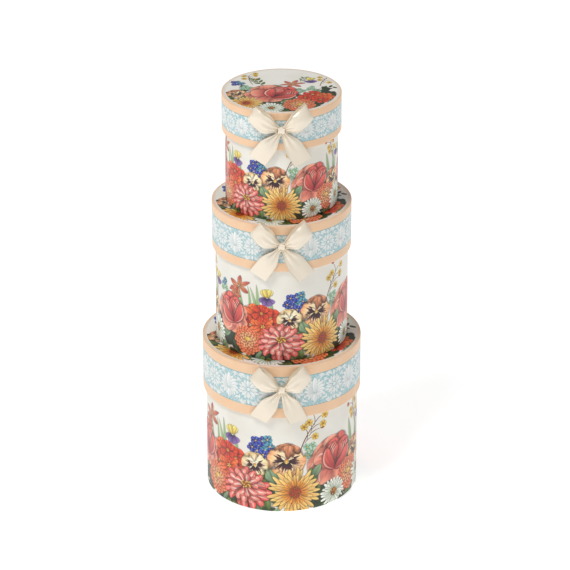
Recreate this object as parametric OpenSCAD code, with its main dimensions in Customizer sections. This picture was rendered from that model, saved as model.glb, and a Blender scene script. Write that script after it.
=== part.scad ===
// A stacked set of three round lidded boxes, wrapped in printed paper, each tied with a ribbon bow.
// The origin is the centre of the large box's underside, +Z is up, and the bows face -Y.

/* [Large box] */
// Outside diameter of the large lid
large_lid_d = 190.5; // [150:0.5:240]
// Height of the large box with its lid on
large_h = 198; // [120:0.5:240]
// Height of the large lid
large_lid_h = 68; // [50:0.5:80]
// How far the large knot sits below the top of its lid
large_bow_drop = 28; // [22:0.5:34]

/* [Medium box] */
// Outside diameter of the medium lid
medium_lid_d = 165.1; // [135:0.5:210]
// Height of the medium box with its lid on
medium_h = 176; // [110:0.5:210]
// Height of the medium lid
medium_lid_h = 58; // [45:0.5:70]
// How far the medium knot sits below the top of its lid
medium_bow_drop = 23; // [18:0.5:28]

/* [Small box] */
// Outside diameter of the small lid
small_lid_d = 139.7; // [115:0.5:180]
// Height of the small box with its lid on
small_h = 136; // [95:0.5:180]
// Height of the small lid
small_lid_h = 46; // [40:0.5:60]
// How far the small knot sits below the top of its lid
small_bow_drop = 19; // [15:0.5:23]

/* [Board and paper] */
// Thickness of the grey board in walls, bases and lids
board_t = 2; // [1.2:0.1:3]
// Thickness of the printed paper with its glue
print_t = 0.35; // [0.2:0.05:0.5]
// Thickness of the lining paper with its glue
lining_t = 0.3; // [0.2:0.05:0.5]
// Clearance all round between a body and its lid
lid_gap = 1.1; // [0.9:0.1:2]
// How far the printed paper is turned in at an open edge
turn_in = 14; // [6:1:16]
// How far a body's wrap is turned under its base
turn_under = 12; // [6:1:20]
// How far a lid's wrap is turned over its top
turn_over = 15; // [8:1:20]
// Width of the plain ring that shows round the top print
rim_ring = 5; // [3:0.5:7]
// How far the base paper stops short of the body's edge
base_margin = 4; // [2:0.5:5]

/* [Ribbon bow] */
// Width of the ribbon
ribbon_w = 22; // [14:1:27]
// Thickness of the ribbon
ribbon_t = 0.4; // [0.3:0.05:0.5]
// Clearance between the ribbon and the lid's wall
ribbon_gap = 0.4; // [0.3:0.1:1]
// Width of the knot
knot_w = 10; // [9:0.5:13]
// Height of the knot
knot_h = 10; // [8:0.5:13]
// Depth of the knot, away from the wall
knot_d = 8; // [6:0.5:9]
// Length of a loop, from the knot to its fold
loop_len = 31; // [22:1:39]
// Angle of a loop above the horizontal
loop_rise = 34; // [25:1:45]
// How far a loop's layers stand off its middle plane
loop_bulge = 5; // [3:0.5:5.5]
// Length of a tail below the knot
tail_len = 43; // [25:1:52]
// Angle of a tail from the vertical
tail_spread = 28; // [24:1:34]
// Angle of the cut at a tail's end, from square
tail_cut = 32; // [0:1:40]
// Diameter of the two holes that the ribbon passes through
hole_d = 4.5; // [3.6:0.1:5]
// Distance between the two holes
hole_pitch = 7; // [6:0.5:8]
// Diameter of the bunched ribbon in a hole
bunch_d = 3; // [2:0.1:3.2]
// Height of the strap of ribbon inside the lid
strap_h = 10; // [6:0.5:14]

/* [Hidden] */
$fn = 128;
BOXES = ["large", "medium", "small"];
PARTS = [
    "body_tube", "base_board", "body_wrap", "base_paper", "body_lining", "floor_lining",
    "lid_hoop", "lid_board", "lid_wrap", "lid_top_print", "lid_lining", "lid_ceiling",
    "bow_loops", "bow_knot", "bow_tails", "ribbon_tie"
];

// Each list holds the large, the medium and the small box's value.
lid_r = [large_lid_d / 2, medium_lid_d / 2, small_lid_d / 2];
height = [large_h, medium_h, small_h];
lid_h = [large_lid_h, medium_lid_h, small_lid_h];
bow_drop = [large_bow_drop, medium_bow_drop, small_bow_drop];
foot_z = [0, large_h, large_h + medium_h];

// Heights within one box, from its underside.
wrap_z = print_t;
board_z = wrap_z + print_t;
floor_z = board_z + board_t;
function rim_z(b) = height[b] - print_t;
function lid_board_z(b) = rim_z(b) - print_t - board_t;
function body_top_z(b) = lid_board_z(b) - lining_t;
function skirt_z(b) = height[b] - lid_h[b];
function knot_z(b) = height[b] - bow_drop[b];

// Radii within one box, from the outside in.
function hoop_r(b) = lid_r[b] - print_t;
function hoop_bore_r(b) = hoop_r(b) - board_t;
function body_r(b) = hoop_bore_r(b) - print_t - lid_gap;
function tube_r(b) = body_r(b) - print_t;
function tube_bore_r(b) = tube_r(b) - board_t;

// The ribbon lies flat across its width, so it clears the round wall by this much at its edges.
function ribbon_rest(b) = ribbon_w * ribbon_w / (8 * lid_r[b]) + ribbon_t / 2 + ribbon_gap;
knot_back = ribbon_gap + 0.2;
knot_mid = knot_back + knot_d / 2;
knot_round = 2.5;
tail_start = 2.4;
tail_start_half = 2.1;
loop_start_half = 4.4;
loop_layer_gap = 1.2;
// A loop's outline is widest at this share of its bulge.
loop_widest = 0.77;
loop_stations = 28;
tail_stations = 12;
cut_past = 4;

function smooth(t) = let (s = min(1, max(0, t))) s * s * (3 - 2 * s);
function unit(v) = v / norm(v);

// A ring about the axis, from its inner radius, outer radius, lower height and upper height.
module ring(inner, outer, low, high) {
    translate([0, 0, low])
        difference() {
            cylinder(h = high - low, r = outer);
            translate([0, 0, -cut_past]) cylinder(h = high - low + 2 * cut_past, r = inner);
        }
}

module disc(radius, low, high) {
    translate([0, 0, low]) cylinder(h = high - low, r = radius);
}

// The two round holes through the front of a lid's wall.
module ribbon_holes(b) {
    for (side = [-1, 1])
        translate([side * hole_pitch / 2, 0, knot_z(b)])
            rotate([90, 0, 0])
                translate([0, 0, hoop_bore_r(b) - cut_past])
                    cylinder(h = lid_r[b] - hoop_bore_r(b) + 2 * cut_past, d = hole_d);
}

// Body
module body_tube(b) {
    color("#b3a48f") ring(tube_bore_r(b), tube_r(b), board_z, body_top_z(b) - print_t);
}

module base_board(b) {
    color("#b3a48f") disc(tube_bore_r(b), board_z, floor_z);
}

// The wrap runs under the tube, up its outside, over its rim and a little way down the inside.
module body_wrap(b) {
    outer = body_r(b);
    inner = tube_bore_r(b) - print_t;
    top = body_top_z(b);
    under = outer - turn_under;
    color("#f8f0ea")
        rotate_extrude()
            polygon([
                [under, wrap_z], [outer, wrap_z], [outer, top], [inner, top],
                [inner, top - turn_in], [inner + print_t, top - turn_in],
                [inner + print_t, top - print_t], [outer - print_t, top - print_t],
                [outer - print_t, board_z], [under, board_z]
            ]);
}

// The base paper laps over the turned-under wrap and is pressed down to the board inside it.
module base_paper(b) {
    edge = body_r(b) - base_margin;
    under = body_r(b) - turn_under;
    color("#f2efe9")
        rotate_extrude()
            polygon([[0, 0], [edge, 0], [edge, wrap_z], [under, wrap_z], [under, board_z], [0, board_z]]);
}

module body_lining(b) {
    color("#f5f2ec") ring(tube_bore_r(b) - lining_t, tube_bore_r(b), floor_z, body_top_z(b) - turn_in);
}

module floor_lining(b) {
    color("#f5f2ec") disc(tube_bore_r(b) - lining_t, floor_z, floor_z + lining_t);
}

// Lid
module lid_hoop(b) {
    color("#b3a48f")
        difference() {
            ring(hoop_bore_r(b), hoop_r(b), skirt_z(b) + print_t, rim_z(b) - print_t);
            ribbon_holes(b);
        }
}

module lid_board(b) {
    color("#b3a48f") disc(hoop_bore_r(b), lid_board_z(b), rim_z(b) - print_t);
}

// The wrap runs over the lid's top edge, down its outside and up inside its open edge.
module lid_wrap(b) {
    outer = lid_r[b];
    inner = hoop_bore_r(b) - print_t;
    over = outer - turn_over;
    top = rim_z(b);
    low = skirt_z(b);
    color("#f3cda3")
        difference() {
            rotate_extrude()
                polygon([
                    [over, top], [outer, top], [outer, low], [inner, low],
                    [inner, low + turn_in], [inner + print_t, low + turn_in],
                    [inner + print_t, low + print_t], [outer - print_t, low + print_t],
                    [outer - print_t, top - print_t], [over, top - print_t]
                ]);
            ribbon_holes(b);
        }
}

// The top print laps over the turned-over wrap and is pressed down to the board inside it.
module lid_top_print(b) {
    edge = lid_r[b] - rim_ring;
    over = lid_r[b] - turn_over;
    top = height[b];
    rim = rim_z(b);
    color("#e8806c")
        rotate_extrude()
            polygon([[0, rim - print_t], [over, rim - print_t], [over, rim], [edge, rim], [edge, top], [0, top]]);
}

module lid_lining(b) {
    color("#f5f2ec")
        difference() {
            ring(hoop_bore_r(b) - lining_t, hoop_bore_r(b), skirt_z(b) + turn_in, lid_board_z(b));
            ribbon_holes(b);
        }
}

module lid_ceiling(b) {
    color("#f5f2ec") disc(hoop_bore_r(b) - lining_t, body_top_z(b), lid_board_z(b));
}

// Bow. A point is [across, up, away from the wall], measured from the knot's centre on the lid's wall.
function on_wall(b, p) = [p.x, -(sqrt(lid_r[b] * lid_r[b] - p.x * p.x) + p.z), p.y + knot_z(b)];

// A station is [centre, half width, angle of the width, outward normal].
function corner(s, q) = s[0] + q[0] * s[1] * [cos(s[2]), sin(s[2]), 0] + q[1] * ribbon_t / 2 * s[3];

// A strip of ribbon through a list of stations.
module band(b, stations) {
    around = [[1, 1], [-1, 1], [-1, -1], [1, -1]];
    last = len(stations) - 1;
    points = [for (s = stations) for (q = around) on_wall(b, corner(s, q))];
    sides = [
        for (i = [0:last - 1]) for (j = [0:3])
            let (p = 4 * i + j, q = 4 * i + (j + 1) % 4)
            each [[p, p + 4, q + 4], [p, q + 4, q]]
    ];
    ends = [[0, 1, 2], [0, 2, 3], [4 * last + 2, 4 * last + 1, 4 * last], [4 * last + 3, 4 * last + 2, 4 * last]];
    polyhedron(points = points, faces = concat(sides, ends));
}

// A loop leaves the knot's side in front, folds over at its far end and comes back behind.
function loop_reach(turn) = loop_len * (1 - cos(turn)) / 2;
function loop_middle(b, turn) =
    let (away = ribbon_rest(b) + loop_widest * loop_bulge + loop_layer_gap)
    knot_mid + (max(away, knot_mid) - knot_mid) * smooth(loop_reach(turn) / (0.4 * loop_len));
function loop_depth(b, turn) =
    loop_middle(b, turn) + loop_bulge * sin(turn) * sin(turn / 2) + loop_layer_gap * cos(turn / 2);
function loop_normal(b, turn) =
    let (step = 4)
    unit([
        loop_depth(b, turn - step) - loop_depth(b, turn + step),
        loop_reach(turn + step) - loop_reach(turn - step)
    ]);
function loop_station(b, turn) =
    let (
        reach = loop_reach(turn),
        open = smooth(reach / (0.55 * loop_len)),
        end = turn == 0 || turn == 360,
        out = end ? [0, turn == 0 ? 1 : -1] : loop_normal(b, turn),
        way = [cos(loop_rise), sin(loop_rise), 0]
    )
    [
        [knot_w / 2, 0, loop_depth(b, turn)] + reach * way,
        loop_start_half + (ribbon_w / 2 - loop_start_half) * open,
        90 + loop_rise * open,
        out[0] * way + [0, 0, out[1]]
    ];

module bow_loops(b) {
    color("#f3e6cf")
        for (side = [0, 1])
            mirror([side, 0, 0])
                band(b, [for (i = [0:loop_stations]) loop_station(b, 360 * i / loop_stations)]);
}

module bow_knot(b) {
    color("#efe0c6")
        translate([-knot_w / 2, -lid_r[b] - knot_mid, knot_z(b)])
            rotate([90, 0, 90])
                linear_extrude(knot_w)
                    offset(r = knot_round)
                        square([knot_d - 2 * knot_round, knot_h - 2 * knot_round], center = true);
}

// A tail leaves the knot's underside, spreads to the ribbon's width and hangs past the lid's edge.
function tail_station(b, share) =
    let (
        reach = tail_len * share,
        open = smooth(share / 0.55),
        cut = share == 1 ? tail_cut : 0,
        half = tail_start_half + (ribbon_w / 2 - tail_start_half) * open
    )
    [
        [
            tail_start + reach * sin(tail_spread),
            -knot_h / 2 - reach * cos(tail_spread),
            knot_mid + (ribbon_rest(b) - knot_mid) * smooth(share / 0.6)
        ],
        half / cos(cut),
        tail_spread * open - cut,
        [0, 0, 1]
    ];

module bow_tails(b) {
    color("#f3e6cf")
        for (side = [0, 1])
            mirror([side, 0, 0])
                band(b, [for (i = [0:tail_stations]) tail_station(b, i / tail_stations)]);
}

// The ribbon passes from the knot through both holes and lies flat inside the lid between them.
module ribbon_tie(b) {
    strap_r = hoop_bore_r(b) - lining_t - (lid_gap + print_t - lining_t) / 2;
    half_angle = asin((hole_pitch + hole_d) / 2 / strap_r);
    color("#efe0c6")
        translate([0, 0, knot_z(b)]) {
            for (side = [-1, 1])
                translate([side * hole_pitch / 2, 0, 0])
                    rotate([90, 0, 0])
                        translate([0, 0, strap_r - ribbon_t / 2])
                            cylinder(h = lid_r[b] + knot_back - strap_r + ribbon_t / 2, d = bunch_d);
            rotate([0, 0, -90 - half_angle])
                rotate_extrude(angle = 2 * half_angle)
                    translate([strap_r - ribbon_t / 2, -strap_h / 2]) square([ribbon_t, strap_h]);
        }
}

// Each box stands on the lid of the one below it.
for (b = [0:2])
    translate([0, 0, foot_z[b]]) {
        body_tube(b);
        base_board(b);
        body_wrap(b);
        base_paper(b);
        body_lining(b);
        floor_lining(b);
        lid_hoop(b);
        lid_board(b);
        lid_wrap(b);
        lid_top_print(b);
        lid_lining(b);
        lid_ceiling(b);
        bow_loops(b);
        bow_knot(b);
        bow_tails(b);
        ribbon_tie(b);
    }
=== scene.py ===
import random
from math import atan2, copysign, cos, hypot, pi, radians, sin, sqrt

import bpy
import numpy as np
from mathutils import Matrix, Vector


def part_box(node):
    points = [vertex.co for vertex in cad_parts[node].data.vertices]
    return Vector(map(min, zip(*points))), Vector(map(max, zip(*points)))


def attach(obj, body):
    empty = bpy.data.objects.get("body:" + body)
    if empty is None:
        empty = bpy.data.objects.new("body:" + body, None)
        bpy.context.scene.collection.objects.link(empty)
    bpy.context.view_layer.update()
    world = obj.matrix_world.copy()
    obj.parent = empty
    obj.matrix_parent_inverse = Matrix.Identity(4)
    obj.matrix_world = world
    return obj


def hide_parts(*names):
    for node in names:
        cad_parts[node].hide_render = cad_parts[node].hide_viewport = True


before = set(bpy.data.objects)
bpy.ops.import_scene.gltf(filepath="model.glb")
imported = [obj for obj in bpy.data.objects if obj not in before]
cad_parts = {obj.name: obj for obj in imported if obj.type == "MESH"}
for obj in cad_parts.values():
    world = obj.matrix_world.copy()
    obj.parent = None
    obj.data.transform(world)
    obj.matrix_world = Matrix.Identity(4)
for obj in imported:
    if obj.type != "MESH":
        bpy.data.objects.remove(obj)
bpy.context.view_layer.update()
print("frame loaded:", len(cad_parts), "nodes")

draw = random.Random(11)  # every random choice comes from here, in a fixed order
mm = 0.001


def measureBox(name, artTurn):
    bodyLow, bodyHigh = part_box(name + "_body_wrap")
    lidLow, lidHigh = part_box(name + "_lid_wrap")
    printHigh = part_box(name + "_lid_top_print")[1]
    knotLow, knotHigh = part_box(name + "_bow_knot")
    return {
        "name": name,
        "artTurn": artTurn,
        "foot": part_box(name + "_base_paper")[0].z / mm,
        "bodyRadius": bodyHigh.x / mm,
        "bodyLow": bodyLow.z / mm,
        "bodyTop": bodyHigh.z / mm,
        "boreRadius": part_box(name + "_base_board")[1].x / mm,
        "lidRadius": lidHigh.x / mm,
        "lidLow": lidLow.z / mm,
        "rimTop": lidHigh.z / mm,
        "printRadius": printHigh.x / mm,
        "printTop": printHigh.z / mm,
        "paper": (printHigh.z - lidHigh.z) / mm,
        "ceilingRadius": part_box(name + "_lid_ceiling")[1].x / mm,
        "knotHeight": (knotLow.z + knotHigh.z) / 2 / mm,
    }


# artTurn is how far the wall print is turned round each box, in artwork millimetres
boxes = [measureBox("large", 0.0), measureBox("medium", -44.0), measureBox("small", 16.0)]
artRadius = boxes[0]["bodyRadius"]
for box in boxes:
    box["scale"] = box["bodyRadius"] / artRadius


# Every flower is painted from petals. A petal kind gives its colour at the base and the tip, how its
# outline rises and falls, and how it is shaded.
def kind(base, tip, rise=0.6, fall=0.35, power=1.0, ruffle=0.15, bow=1.0, rib=0.0, streak=0.3, edge=0.3,
         shadow=0.5):
    return {
        "base": base, "tip": tip, "rise": rise, "fall": fall, "power": power, "ruffle": ruffle,
        "bow": bow, "rib": rib, "streak": streak, "edge": edge, "shadow": shadow,
    }


petalKinds = {
    "daisyWhite": kind((168, 190, 152), (246, 250, 240), 0.5, 0.3, 0.6, streak=0.25, edge=0.35),
    "daisyGold": kind((206, 96, 34), (254, 222, 142), 0.5, 0.42, 0.8, streak=0.35, edge=0.45),
    "daisyAmber": kind((176, 66, 28), (249, 186, 82), 0.5, 0.45, 0.9, streak=0.35, edge=0.45),
    "zinniaOuter": kind((150, 18, 34), (238, 112, 104), 0.5, 0.34, 1.0, rib=0.6, streak=0.6, edge=0.5),
    "zinniaInner": kind((172, 26, 40), (248, 152, 138), 0.5, 0.38, 1.0, rib=0.8, streak=0.6, edge=0.5),
    "dahliaOuter": kind((186, 44, 22), (248, 150, 96), 0.7, 0.3, 1.4, streak=0.2, edge=0.55, rib=0.2),
    "dahliaInner": kind((186, 44, 24), (253, 204, 140), 0.7, 0.3, 1.2, streak=0.2, edge=0.5, rib=0.3),
    "roseOuter": kind((178, 44, 54), (252, 178, 152), 0.5, 0.42, 1.1, 0.3, streak=0.3, edge=0.08),
    "roseFold": kind((158, 30, 44), (238, 120, 108), 0.6, 0.5, 0.8, 0.15, 1.0, streak=0.4, edge=0.3,
                     shadow=0.7),
    "roseLight": kind((226, 112, 104), (254, 216, 198), 0.5, 0.6, 0.6, 0.1, 8.0, streak=0.2, edge=0.1,
                      shadow=0.4),
    "bloomRed": kind((150, 24, 16), (244, 96, 56), 0.6, 0.35, 0.8, 0.3, rib=-0.2, streak=0.45, edge=0.35),
    "bloomOrange": kind((196, 50, 22), (252, 140, 78), 0.6, 0.35, 0.8, 0.3, rib=-0.2, streak=0.4, edge=0.35),
    "pansyBack": kind((112, 52, 46), (232, 166, 124), 0.45, 0.38, 0.8, 0.55, streak=0.7, edge=0.6, rib=-0.1),
    "pansyFront": kind((254, 238, 204), (244, 176, 118), 0.45, 0.36, 1.2, 0.6, streak=0.5, edge=0.65),
    "pansyPale": kind((250, 246, 226), (246, 216, 160), 0.45, 0.36, 1.2, 0.5, streak=0.4, edge=0.5),
    "pansyBlotch": kind((34, 10, 26), (104, 44, 60), 0.3, 0.6, 1.0, 0.3, streak=0.5, edge=0.0, shadow=0.2),
    "lilyPink": kind((236, 186, 130), (206, 84, 80), 0.8, 0.8, 0.7, 0.1, rib=-0.3, streak=0.3),
    "irisPurple": kind((62, 36, 108), (164, 134, 196), 0.6, 0.4, 1.0, 0.3, streak=0.5, edge=0.2),
    "irisYellow": kind((206, 176, 60), (250, 236, 150), 0.7, 0.5, 0.7, 0.2, streak=0.4),
    "blueDeep": kind((12, 26, 120), (40, 96, 208), 0.5, 0.35, 1.0, 0.2, streak=0.3, edge=0.4, rib=0.2),
    "blueSky": kind((24, 92, 150), (96, 186, 200), 0.5, 0.35, 1.0, 0.2, streak=0.3, edge=0.4, rib=0.2),
    "mintPetal": kind((108, 170, 140), (210, 234, 212), 0.5, 0.35, 0.9, 0.2, streak=0.3, edge=0.45),
    "leafMid": kind((60, 92, 42), (142, 164, 92), 0.6, 0.8, 0.8, 0.1, rib=-0.35, streak=0.4, edge=0.3),
    "leafDark": kind((24, 44, 30), (72, 98, 58), 0.6, 0.7, 0.8, 0.1, rib=-0.3, streak=0.4, edge=0.2),
    "leafSage": kind((84, 120, 96), (172, 194, 154), 0.6, 0.8, 0.8, 0.1, rib=-0.3, streak=0.3, edge=0.2),
    "blade": kind((88, 136, 82), (186, 210, 162), 0.4, 0.7, 0.8, 0.05, 6.0, -0.2, 0.3, 0.3, 0.2),
    "stemBrown": kind((112, 74, 66), (150, 104, 84), 0.15, 0.35, 1.0, 0.0, 12.0, 0.0, 0.1, 0.0, 0.0),
    "stemGreen": kind((84, 118, 58), (132, 158, 84), 0.15, 0.35, 1.0, 0.0, 12.0, 0.0, 0.1, 0.0, 0.0),
    "seedBrown": kind((120, 58, 20), (206, 140, 52), 0.5, 0.5, 1.0, 0.2, streak=0.5, edge=0.5),
    "seedYellow": kind((226, 170, 50), (252, 232, 132), 0.5, 0.5, 1.0, 0.1, streak=0.2, edge=0.5),
    "seedRed": kind((150, 44, 34), (218, 100, 60), 0.5, 0.5, 1.0, 0.2, streak=0.5, edge=0.5),
    "damask": kind((222, 232, 232), (243, 245, 242), 0.6, 0.5, 0.8, 0.1, 1.5, -0.12, 0.1, 0.16, 0.1),
}
kindNames = list(petalKinds)
bowSteps = 14


def outlineNorm(rise, fall):
    return (rise + fall) ** (rise + fall) / (rise ** rise * fall ** fall)


def addPetal(art, x, y, angle, length, half, name, bend=0.0, tone=None):
    shade = draw.uniform(0.05, 0.95) if tone is None else tone
    step = round((max(-1, min(1, bend)) + 1) / 2 * bowSteps)
    art.append((x, y, angle, length, half, kindNames.index(name), step, shade))


def sway(most):
    return draw.uniform(-most, most)


def flowerPlane(art, x, y, flat=1.0, tilt=0.0):
    # petals put on this plane are foreshortened by flat across the direction tilt
    def put(radius, angle, length, half, name, bend=0.0, tone=None):
        ends = []
        for reach in (radius, radius + length):
            across = reach * cos(angle - tilt)
            up = reach * sin(angle - tilt) * flat
            ends.append((
                x + across * cos(tilt) - up * sin(tilt),
                y + across * sin(tilt) + up * cos(tilt),
            ))
        (ax, ay), (bx, by) = ends
        squeeze = hypot(flat * cos(angle - tilt), sin(angle - tilt))
        addPetal(art, ax, ay, atan2(by - ay, bx - ax), hypot(bx - ax, by - ay),
                 half * max(squeeze, 0.35), name, bend, tone)
    return put


def seedHead(art, x, y, radius, ground, dots, flat=1.0, light="seedYellow"):
    put = flowerPlane(art, x, y, flat)
    put(-radius, 0.0, 2 * radius, radius * flat, ground, tone=0.4)
    for i in range(dots):
        reach = radius * 0.88 * sqrt((dots - i) / dots)
        put(reach, 2.4 * i, radius * 0.34, radius * 0.17, light if i % 2 else ground)


def daisy(art, x, y, radius, outer, inner, petals, rings, centre):
    put = flowerPlane(art, x, y)
    for ring in range(rings):
        share = 1 - 0.24 * ring
        name = outer if ring < rings - 1 or rings == 1 else inner
        for i in range(petals):
            angle = 2 * pi * (i + 0.5 * (ring % 2)) / petals + sway(0.07)
            length = radius * share * draw.uniform(0.88, 1.0) - centre * 0.5
            put(centre * 0.5, angle, length, radius * share * 2.1 / petals, name, sway(0.5))


def zinnia(art, x, y, radius):
    for ring, (share, petals) in enumerate([(1.0, 16), (0.82, 13), (0.56, 9)]):
        put = flowerPlane(art, x, y + 2.0 * ring, 0.9)
        name = "zinniaOuter" if ring < 1 else "zinniaInner"
        for i in range(petals):
            angle = 2 * pi * (i + 0.5 * (ring % 2)) / petals + sway(0.1)
            length = radius * share * draw.uniform(0.86, 1.0) - 4
            put(4, angle, length, radius * share * 2.55 / petals, name, sway(0.7))
    seedHead(art, x, y + 5, 6.8, "seedBrown", 26, 0.7)


def dahlia(art, x, y, radius):
    petals = 96
    for i in range(petals):
        share = sqrt(1 - i / petals)
        length = radius * (0.14 + 0.2 * share)
        name = "dahliaOuter" if share > 0.6 else "dahliaInner"
        put = flowerPlane(art, x, y + radius * 0.1 * (1 - share))
        put(radius * share - length, 2.39996 * i, length, length * 0.42, name, sway(0.3))
    seedHead(art, x, y + radius * 0.1, radius * 0.16, "seedYellow", 8)


def rose(art, x, y, size, lean):
    # broad open petals behind, then a long furled heart whose folds rise from its foot
    put = flowerPlane(art, x, y)
    for turn, reach, half in [(2.3, 1.0, 0.5), (0.4, 0.94, 0.44), (-0.5, 0.98, 0.46), (1.6, 1.02, 0.46),
                              (3.3, 1.12, 0.54), (-1.3, 1.02, 0.5), (4.1, 1.12, 0.54), (2.9, 0.84, 0.44)]:
        bend = sway(0.3)
        put(size * 0.02, turn, size * reach, size * half, "roseOuter", bend)
        curl = copysign(0.7, bend)
        put(size * 0.3, turn + 0.1, size * (reach - 0.34), size * 0.05, "roseLight", curl)
    heart = flowerPlane(art, x + size * 0.14, y - size * 0.5)
    tall = size * 1.58
    for turn in (0.0, 0.3, -0.3):
        heart(0.0, lean + turn, tall * (1.0 - abs(turn) * 0.4), size * 0.42, "roseFold", 0.0)
    for k in range(11):
        side = 1 if k % 2 else -1
        turn = side * (0.44 - 0.036 * k)
        reach = tall * (0.74 + 0.045 * (k % 3)) * (1 - 0.014 * k)
        rise = size * 0.045 * k
        heart(rise, lean + turn, reach - rise, size * (0.26 - 0.014 * k), "roseFold", side * 0.6)
        heart(rise, lean + turn, reach - rise, size * (0.042 - 0.0018 * k), "roseLight", side * 0.95)
    for turn, reach in ((0.66, 0.7), (-0.6, 0.74)):
        heart(0.0, lean + turn, tall * reach, size * 0.24, "roseFold", copysign(0.4, turn))
        heart(0.0, lean + turn, tall * reach, size * 0.04, "roseLight", copysign(0.95, turn))


def pansy(art, x, y, size, turn=0.0, back="pansyBack", front="pansyFront"):
    put = flowerPlane(art, x, y)
    for angle, reach, half, name in [(1.1, 1.0, 0.5, back), (2.05, 1.02, 0.52, back), (1.62, 0.9, 0.4, back),
                                     (0.1, 1.04, 0.52, front), (3.04, 1.06, 0.54, front),
                                     (-1.1, 0.96, 0.46, front), (-2.05, 0.96, 0.46, front),
                                     (-1.57, 1.0, 0.5, front)]:
        put(0, angle + turn, size * reach, size * half, name, sway(0.2))
    strokes = [0.5, 0.3, 0.1, -0.1, -0.3, 2.64, 2.84, 3.04, 3.24, 3.44]
    strokes += [-0.8, -1.0, -1.2, -1.38, -1.57, -1.76, -1.94, -2.14, -2.34]
    for i, angle in enumerate(strokes):
        reach = (0.66, 0.46, 0.56)[i % 3]
        put(size * 0.1, angle + turn, size * reach, size * 0.06, "pansyBlotch", sway(0.4))
    for angle in (0.55, 2.59):  # pale brows over the dark streaks
        put(size * 0.06, angle + turn, size * 0.34, size * 0.05, "pansyPale", 0.3)
    put(-size * 0.12, -1.57 + turn, size * 0.3, size * 0.11, "daisyGold")
    put(-size * 0.05, -1.57 + turn, size * 0.16, size * 0.06, "seedYellow")


def bloom(art, x, y, size, name):
    put = flowerPlane(art, x, y, 0.9, sway(0.4))
    for ring, (share, petals) in enumerate([(1.0, 7), (0.72, 6)]):
        for i in range(petals):
            angle = 2 * pi * (i + 0.5 * ring) / petals + sway(0.15)
            put(size * 0.06, angle, size * share, size * share * 0.36, name, sway(0.4))
    for i in range(5):
        put(size * 0.03, 1.26 * i, size * 0.15, size * 0.04, "seedYellow")


def lily(art, x, y, size, turn=0.3):
    put = flowerPlane(art, x, y, 0.75, turn)
    for i in range(6):
        put(size * 0.04, turn + pi / 3 * i, size, size * 0.19, "lilyPink", sway(0.4))
    for i in range(5):
        put(size * 0.04, turn + 1.3 * i, size * 0.4, size * 0.02, "stemBrown", 0.2)


def iris(art, x, y, size):
    put = flowerPlane(art, x, y)
    for angle in (1.57, 1.0, 2.15, 1.25, 1.9):
        put(size * 0.05, angle, size * 0.95, size * 0.24, "irisYellow", sway(0.4))
    for angle in (-0.5, -1.57, 3.64, -1.1, 4.3):
        put(size * 0.05, angle, size * 0.85, size * 0.24, "irisPurple", sway(0.5))


def smallFlowers(art, x, y, spread, count, names, size=5.0):
    for i in range(count):
        angle = 2.4 * i + 0.6
        reach = spread * sqrt(i / count)
        put = flowerPlane(art, x + reach * cos(angle), y + reach * sin(angle), 0.88, angle)
        name = names[i % len(names)]
        for k in range(5):
            put(size * 0.08, angle + 1.2566 * k, size, size * 0.42, name)
        put(-size * 0.16, 0, size * 0.34, size * 0.16, "seedYellow")


def leaf(art, x, y, angle, length, half, name="leafMid", bend=0.2):
    addPetal(art, x, y, angle, length, half, name, bend)


def leafSpray(art, x, y, angle, length, leaves, name="leafMid"):
    addPetal(art, x, y, angle, length, 0.6, "stemGreen", 0.25)
    for i in range(leaves):
        share = (i + 1) / (leaves + 1)
        side = 1 if i % 2 else -1
        leaf(art, x + cos(angle) * length * share, y + sin(angle) * length * share,
             angle + side * 0.8, length * 0.36, length * 0.075, name, 0.3 * side)


def sprig(art, x, y, angle, length):
    addPetal(art, x, y, angle, length, 0.7, "stemBrown", 0.25)
    for i in range(7):
        share = 0.28 + 0.11 * i
        side = 1 if i % 2 else -1
        bx = x + cos(angle) * length * share
        by = y + sin(angle) * length * share
        turn = angle + side * draw.uniform(0.5, 0.95)
        reach = length * draw.uniform(0.3, 0.42)
        addPetal(art, bx, by, turn, reach, 0.5, "stemBrown", side * -0.5)
        tx = bx + cos(turn) * reach
        ty = by + sin(turn) * reach
        if i % 3 == 2:
            addPetal(art, tx, ty, turn, 6, 1.8, "roseFold")
            addPetal(art, tx, ty, turn + 0.7, 5, 1.3, "roseFold")
        else:
            put = flowerPlane(art, tx, ty)
            for k in range(5):
                put(0.4, turn + 1.2566 * k, 4.8, 2.0, "seedYellow")
            put(-0.8, 0, 1.6, 0.8, "leafDark")


wallPeriod = pi * artRadius  # the print runs twice round a box


def repeated(art, period, past):
    # the design again on both sides of itself, as far as past beyond one period
    around = []
    for item in art:
        for turn in (-1, 0, 1):
            x = item[0] + turn * period
            if abs(x) < period / 2 + past:
                around.append((x,) + item[1:])
    return around


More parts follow.
